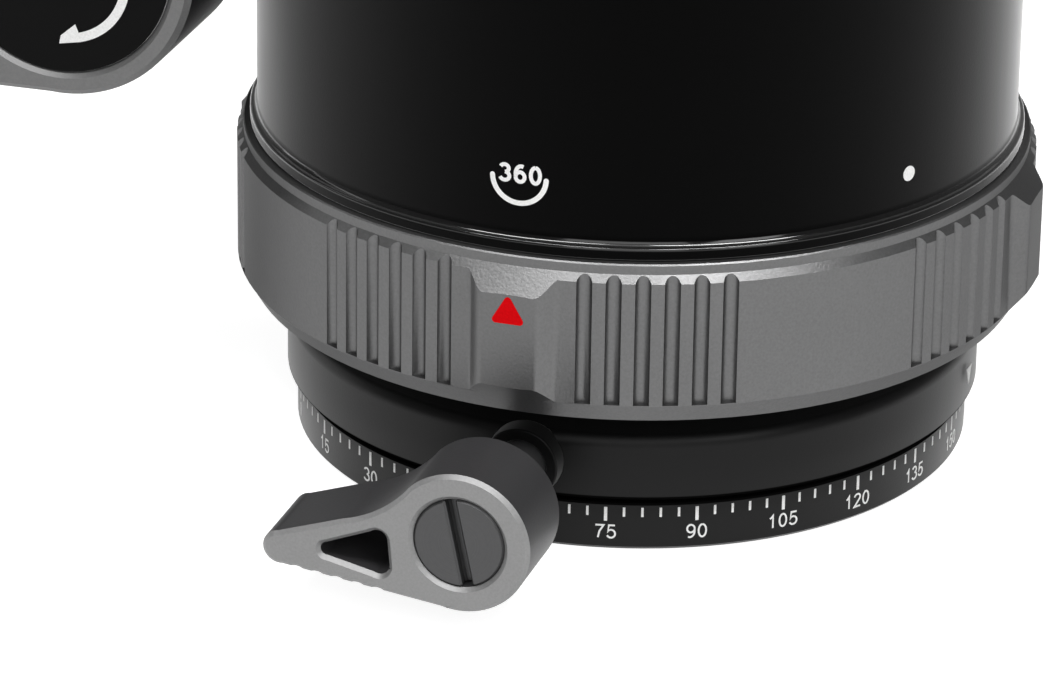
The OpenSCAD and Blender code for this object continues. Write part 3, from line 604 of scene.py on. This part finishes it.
# %% [markdown]
# ## The degree scale
# The base rim is divided every 3 degrees, with a long line and a number every 15. The numbers grow
# to the right, and the head in the photograph shows about 62 degrees at its front. An Array modifier
# could repeat one line round the rim, but every fifth line is longer, so a loop over the degrees is
# plainer.

# %% Lines of the scale
# heights and widths in millimetres, angles in degrees
BASE_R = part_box("base_plate")[1].x
SCALE_FRONT = 62.1
SCALE_STEP, SCALE_LONG = 3, 15
LINE_TOP, LINE_LOW, LINE_LONG_LOW = 4.0, 3.14, 2.70
LINE_W, LINE_LONG_W = 0.21, 0.28


def scale_lines(bm):
    for degree in range(0, 360, SCALE_STEP):
        long = degree % SCALE_LONG == 0
        low, width = (LINE_LONG_LOW, LINE_LONG_W) if long else (LINE_LOW, LINE_W)
        place = round_cylinder(BASE_R, degree - SCALE_FRONT, 0.0)
        add_stroke(bm, stroke_sides([(0, low), (0, LINE_TOP)], width), place)


film("scale_lines", "base", white_print, scale_lines)

# %% [markdown]
# ## Numbers of the scale
# The scale is numbered every 15 degrees, as on any turntable. A text object would bring outlines of
# somebody else's design. The numerals are single pen strokes instead, the way an engraving machine
# cuts them, so their weight is one pen width. Each one is a few strokes in a cell one unit high, and
# it narrows towards the sides by itself, because it is bent round the rim.

# %% Numerals
# each numeral is a list of strokes in a cell 0.6 wide and 1 high
NUMERALS = {
    "0": [arc(0.3, 0.5, 0.25, 0.5, 90, 450, 20)],
    "1": [[(0.12, 0.76), (0.22, 0.82), (0.34, 1.0), (0.34, 0.0)]],
    "2": [arc(0.3, 0.74, 0.25, 0.26, 170, -30, 10) + [(0.05, 0.0), (0.57, 0.0)]],
    "3": [arc(0.28, 0.76, 0.23, 0.24, 160, -80, 10), arc(0.28, 0.27, 0.27, 0.27, 85, -160, 10)],
    "4": [[(0.44, 0.0), (0.44, 1.0), (0.02, 0.28), (0.6, 0.28)]],
    "5": [[(0.54, 1.0), (0.15, 1.0), (0.09, 0.5)] + arc(0.29, 0.32, 0.27, 0.32, 128, -155, 12)],
    "6": [arc(0.3, 0.31, 0.25, 0.31, 180, -180, 16), arc(0.36, 0.5, 0.31, 0.5, 195, 68, 8)],
    "7": [[(0.03, 1.0), (0.56, 1.0), (0.3, 0.5), (0.2, 0.0)]],
    "8": [arc(0.3, 0.76, 0.21, 0.24, 90, 450, 16), arc(0.3, 0.26, 0.26, 0.26, 90, 450, 16)],
    "9": [arc(0.3, 0.69, 0.25, 0.31, 0, 360, 16), arc(0.24, 0.5, 0.31, 0.5, 15, -112, 8)],
}
CELL, GAP, WIDE = 0.6, 0.16, 1.13


def write_number(bm, text, height, pen, place, base=0.0, gap=GAP):
    """Numerals centred on x = 0, standing on y = base."""
    span = len(text) * CELL + (len(text) - 1) * gap
    tall = height - pen
    for i, mark in enumerate(text):
        shift = i * (CELL + gap) - span / 2
        for stroke in NUMERALS[mark]:
            line = [((shift + x) * tall * WIDE, base + pen / 2 + y * tall) for x, y in stroke]
            add_stroke(bm, stroke_sides(line, pen), place)


NUMBER_LOW, NUMBER_H, NUMBER_PEN = 1.03, 1.33, 0.16


def scale_numbers(bm):
    for degree in range(0, 360, SCALE_LONG):
        place = round_cylinder(BASE_R, degree - SCALE_FRONT, 0.0)
        write_number(bm, str(degree), NUMBER_H, NUMBER_PEN, place, NUMBER_LOW)


film("scale_numbers", "base", white_print, scale_numbers)

# %% [markdown]
# ## Marks on the housings and the ring
# A white triangle on the pan housing reads the scale. The ring carries a red pointer, and the body
# above it shows the two settings: free movement all round, drawn as 360 over an arc, and a dot. They
# are strokes and patches like those of the scale, so all the print on the head has one thickness.

# %% Index, pointer and setting marks
PAN_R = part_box("pan_housing")[1].x
# the straight wall of the body, whose box is wider because of its foot and its lugs
BODY_R = 33.5 * MM
LOBE_R = -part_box("mode_ring")[0].y
# heights and widths in millimetres, angles in degrees
INDEX_AZ, INDEX_TOP, INDEX_TIP, INDEX_W = 89.3, 8.75, 7.03, 1.45
POINTER_TOP, POINTER_LOW, POINTER_W, POINTER_ROUND = 25.7, 22.98, 3.2, 0.3
FREE_Z, FREE_H, FREE_PEN, FREE_GAP = 34.48, 1.73, 0.33, 0.24
ARC_X, ARC_Z, ARC_R, ARC_PEN = -0.09, 35.08, 2.35, 0.44
ARC_FROM, ARC_TO = 182, 358
DOT_AZ, DOT_Z, DOT_R = 60.0, 33.0, 0.67


def rounded_outline(corners, radius, steps=4):
    """The corners, counter-clockwise, each one replaced by an arc of the radius."""
    points = []
    for i, corner in enumerate(corners):
        c = Vector(corner)
        a = (Vector(corners[i - 1]) - c).normalized()
        b = (Vector(corners[(i + 1) % len(corners)]) - c).normalized()
        half = math.acos(max(-1, min(1, a.dot(b)))) / 2
        middle = c + (a + b).normalized() * radius / math.sin(half)
        start, end = c + a * radius / math.tan(half), c + b * radius / math.tan(half)
        for k in range(steps + 1):
            p = start.lerp(end, k / steps) - middle
            points.append(tuple(middle + p.normalized() * radius))
    return points


film("pan_index", "head", white_print, lambda bm: add_patch(
    bm, [(-INDEX_W / 2, INDEX_TOP), (0, INDEX_TIP), (INDEX_W / 2, INDEX_TOP)],
    round_cylinder(PAN_R, INDEX_AZ, 0.0)))
film("ring_pointer", "mode", red_print, lambda bm: add_patch(
    bm, rounded_outline([(0, POINTER_TOP), (-POINTER_W / 2, POINTER_LOW),
                         (POINTER_W / 2, POINTER_LOW)], POINTER_ROUND),
    on_front(0.0, 0.0, -LOBE_R)))


def setting_marks(bm):
    place = round_cylinder(BODY_R, 0.0, 0.0)
    write_number(bm, "360", FREE_H, FREE_PEN, place, FREE_Z, FREE_GAP)
    sweep = arc(ARC_X, ARC_Z, ARC_R, ARC_R, ARC_FROM, ARC_TO, 24)
    add_stroke(bm, stroke_sides(sweep, ARC_PEN, True), place)
    add_patch(bm, arc(0, DOT_Z, DOT_R, DOT_R, 0, 350, 35), round_cylinder(BODY_R, DOT_AZ, 0.0))


film("setting_marks", "head", white_print, setting_marks)

# %% [markdown]
# ## The arrow on the lock lever
# The black disc in the lever shows which way to turn it, with a curved arrow: a thick arc that runs
# clockwise and ends in a broad head. The corners of the head are given by radius and angle, because
# it bends along with the arc.

# %% Lock arrow
# sizes in millimetres, angles in degrees from the right, counter-clockwise
cap_low, cap_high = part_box("lever_cap")
cap_x, cap_z = (cap_low.x + cap_high.x) / 2, (cap_low.z + cap_high.z) / 2
ARROW_X, ARROW_Z = 0.5, -1.45
ARROW_R, ARROW_PEN, ARROW_FROM, ARROW_TO = 5.8, 0.83, 48, -75
# the head hangs on the inner side of the arc: radius and angle of its corners
HEAD = ((6.23, -75), (5.4, -74.8), (4.59, -76), (5.65, -92.5), (6.41, -93.5))


def lock_arrow(bm):
    place = on_front(cap_x + ARROW_X * MM, cap_z + ARROW_Z * MM, cap_low.y)
    shaft = arc(0, 0, ARROW_R, ARROW_R, ARROW_FROM, ARROW_TO, 30)
    add_stroke(bm, stroke_sides(shaft, ARROW_PEN), place)
    corners = [(r * math.cos(math.radians(a)), r * math.sin(math.radians(a))) for r, a in HEAD]
    add_patch(bm, corners, place)


film("lock_arrow", "ball_lock", white_print, lock_arrow)

# %% [markdown]
# ## The tripod thread
# Underneath, a steel insert takes the tripod screw. The CAD bore is plain, so this piece stands in
# for it with a real thread. A Screw modifier could wind a tooth up the bore, but its ends would stay
# open. The wall here is a grid in angle and height whose radius follows the sawtooth of a
# 16-per-inch thread and opens into a countersink at both ends. Its outside is the same cylinder as
# before.

# %% Threaded insert
insert_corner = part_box("thread_insert")[1]
INSERT_R, INSERT_TOP = insert_corner.x, insert_corner.z
BORE_R, THREAD_DEPTH, PITCH = 3.97 * MM, 0.75 * MM, 25.4 / 16 * MM
# steepness of the flanks, flat of the crest, and height over which the thread runs in at each end
FLANK, CREST, LEAD_IN = 2.6, 0.9, 0.6 * MM
AROUND, UP = 60, 108


def thread_radius(turn, z):
    phase = (z / PITCH - turn) % 1.0
    rise = max(0.0, 1 - abs(phase - 0.5) * FLANK)
    lead = min(1.0, min(z, INSERT_TOP - z) / LEAD_IN)
    return BORE_R + THREAD_DEPTH * (lead * min(rise, CREST) + (1 - lead))


def on_circle(radius, i, z):
    turn = 2 * math.pi * i / AROUND
    return (radius * math.cos(turn), radius * math.sin(turn), z)


def threaded_insert():
    bm = bmesh.new()
    heights = [INSERT_TOP * k / UP for k in range(UP + 1)]
    wall = [[bm.verts.new(on_circle(thread_radius(i / AROUND, z), i, z)) for i in range(AROUND)]
            for z in heights]
    outside = [[bm.verts.new(on_circle(INSERT_R, i, z)) for i in range(AROUND)]
               for z in (INSERT_TOP, 0.0)]
    loops = wall + outside + [wall[0]]
    for a, b in zip(loops, loops[1:]):
        for i in range(AROUND):
            j = (i + 1) % AROUND
            bm.faces.new((a[i], a[j], b[j], b[i]))
    obj = add_piece(bm, "threaded_insert", bright_steel)
    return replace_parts(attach(obj, "base"), "thread_insert")


threaded_insert()
print("thread turns:", round(INSERT_TOP / PITCH, 1))

# %% [markdown]
# ## The bubble level
# The vial in the clamp seat needs its bubble and the ring that it is read against. A flattened
# sphere would stand out of the liquid, while a real bubble lies flat against the top of the vial. So
# both are lathe shapes: a profile spun round an upright axis.

# %% Bubble and reading ring
vial_low, vial_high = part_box("level_vial")
vial_x, vial_y = (vial_low.x + vial_high.x) / 2, (vial_low.y + vial_high.y) / 2
BUBBLE_R, BUBBLE_H, BUBBLE_DROP = 1.45, 0.5, 0.02
RING_R, RING_W, RING_H = 1.9, 0.22, 0.06
UP_AXIS = Vector((0.0, 0.0, 1.0))
SAME_POINT, NO_LENGTH = 0.0005 * MM, 0.0002 * MM


def spin_piece(name, profile, centre, body, finish, steps=40):
    """A closed lathe shape from (radius, height) points in millimetres."""
    bm = bmesh.new()
    rows = []
    for i in range(steps):
        angle = 2 * math.pi * i / steps
        out = Vector((math.cos(angle), math.sin(angle), 0.0))
        rows.append([bm.verts.new(centre + (out * r + UP_AXIS * h) * MM) for r, h in profile])
    for i in range(steps):
        a, b = rows[i], rows[(i + 1) % steps]
        for k in range(len(profile)):
            m = (k + 1) % len(profile)
            bm.faces.new((a[k], b[k], b[m], a[m]))
    bmesh.ops.remove_doubles(bm, verts=bm.verts, dist=SAME_POINT)
    bmesh.ops.dissolve_degenerate(bm, edges=bm.edges, dist=NO_LENGTH)
    obj = add_piece(bm, name, finish)
    for face in obj.data.polygons:
        face.use_smooth = True
    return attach(obj, body)


on_vial = Vector((vial_x, vial_y, vial_high.z))
ring_profile = [(RING_R, 0.0), (RING_R + RING_W, 0.0), (RING_R + RING_W, RING_H), (RING_R, RING_H)]
spin_piece("level_ring", ring_profile, on_vial, "platform", black_print)
bubble_profile = arc(0, -BUBBLE_DROP, BUBBLE_R, BUBBLE_H, 0, -90, 8) + [(0, -BUBBLE_DROP)]
spin_piece("level_bubble", bubble_profile, on_vial, "platform", white_plastic)

# %% [markdown]
# ## The white ground
# The photograph has a white ground. More light would whiten a floor, but it would grey the black
# part as well. The floor here is pale, and it adds an even white only for rays that come from the
# camera, from a reflection or through glass. So the lamps light the object, and the floor still
# shows its shadow.

# %% White ground
def white_rays(wire):
    """1 for rays that see the ground directly, in a mirror or through glass."""
    seen = [wire.node("ShaderNodeLightPath", {}, {}, ray)
            for ray in ("Is Camera Ray", "Is Glossy Ray", "Is Transmission Ray")]
    return wire.maths("MINIMUM", seen[0] + seen[1] + seen[2], 1.0)


FLOOR_SIZE, FLOOR_DROP, FLOOR_TONE, FLOOR_WHITE = 8.0, 0.05 * MM, 0.45, 0.88


def white_floor():
    material, wire = begin("white_floor")
    paper = wire.node("ShaderNodeBsdfDiffuse", {}, {"Color": grey(FLOOR_TONE)})
    glow = wire.node("ShaderNodeEmission", {},
                     {"Color": grey(1.0), "Strength": white_rays(wire) * FLOOR_WHITE})
    both = wire.node("ShaderNodeAddShader", {}, {0: paper, 1: glow})
    wire.node("ShaderNodeOutputMaterial", {}, {"Surface": both})
    bpy.ops.mesh.primitive_grid_add(x_subdivisions=4, y_subdivisions=4, size=FLOOR_SIZE,
                                    location=(0, 0, -FLOOR_DROP))
    floor = bpy.context.object
    floor.name = "floor"
    floor.data.materials.append(material)


white_floor()
print("floor", FLOOR_SIZE, "m across")

# %% [markdown]
# ## The room
# A studio is never quite dark: its walls send back a little light from all round. Modelled walls
# would cost time in each render. A world of one even grey stands for them, weak enough to leave the
# shadows to the lamps.

# %% Room light
ROOM = 0.16


def room_light():
    world = bpy.data.worlds.new("studio")
    bpy.context.scene.world = world
    world.use_nodes = True
    world.node_tree.nodes.clear()
    wire = Wire(world.node_tree)
    walls = wire.node("ShaderNodeBackground", {}, {"Color": grey(1.0), "Strength": ROOM})
    wire.node("ShaderNodeOutputWorld", {}, {"Surface": walls})


room_light()
print("room level", ROOM)

# %% [markdown]
# ## Lamps
# A black part shows its shape only by what it mirrors, and a single large lamp would leave one dull
# glow on it. Two thin strips above the front, one on each side of the camera, draw the bright lines
# along the chamfers, the cove and the lever edges. A soft box between them opens the shadows, a weak
# box on each side lifts the flanks a little, and a broad fill from the front keeps the grey ring
# readable.

# %% Soft boxes
def soft_box(name, place, aim, size, power):
    lamp = bpy.data.lights.new(name, "AREA")
    lamp.shape = "RECTANGLE"
    lamp.size, lamp.size_y = size
    lamp.energy = power
    obj = bpy.data.objects.new(name, lamp)
    bpy.context.scene.collection.objects.link(obj)
    obj.location = place
    obj.rotation_euler = (Vector(aim) - Vector(place)).to_track_quat("-Z", "Y").to_euler()


CENTRE = (0.0, 0.0, 0.03)
# place, width and height in metres, and power in watts
LAMPS = {"key_box": ((0.16, -0.36, 0.74), (0.62, 0.34), 1.2),
         "left_strip": ((-0.16, -0.36, 0.73), (0.45, 0.05), 2.6),
         "right_strip": ((0.32, -0.225, 0.73), (0.45, 0.05), 4.0),
         "left_box": ((-0.85, 0.10, 0.35), (0.3, 0.8), 1.5),
         "right_box": ((0.62, -0.52, 0.48), (0.3, 0.5), 1.8),
         "front_fill": ((0.30, -1.2, 0.60), (0.8, 0.8), 4.5)}
for name, (place, size, power) in LAMPS.items():
    soft_box(name, place, CENTRE, size, power)

# %% [markdown]
# ## Camera
# The photograph is a tight crop taken with a long lens from above the front right. A camera placed
# by eye would be a little off everywhere. Its place and its axes come from a pinhole camera fitted
# to the degree scale and to the turned edges, whose sizes are known from the model. The same numbers
# set Blender's camera, so render and photograph overlay.

# %% Camera
CAMERA_AT = Vector((139.47, -467.85, 219.79)) * MM
CAMERA_RIGHT = Vector((0.950761, 0.309681, 0.012305))
CAMERA_UP = Vector((-0.135273, 0.378931, 0.915485))
SENSOR, FOCAL_PX, IMAGE_W = 36.0, 5928.9, 1049
lens = bpy.data.cameras.new("camera")
lens.sensor_width = SENSOR
lens.lens = FOCAL_PX / IMAGE_W * SENSOR
camera = bpy.data.objects.new("camera", lens)
bpy.context.scene.collection.objects.link(camera)
back = CAMERA_RIGHT.cross(CAMERA_UP)
turn = Matrix((CAMERA_RIGHT, CAMERA_UP, back)).transposed().to_4x4()
camera.matrix_world = Matrix.Translation(CAMERA_AT) @ turn
bpy.context.scene.camera = camera
bpy.context.scene.view_settings.view_transform = "Standard"
print("lens", round(lens.lens, 1), "mm")

# %% [markdown]
# ## The end of the dressing
# Broken edges and printed films must not make the part larger than its solids.


print("dressing done")
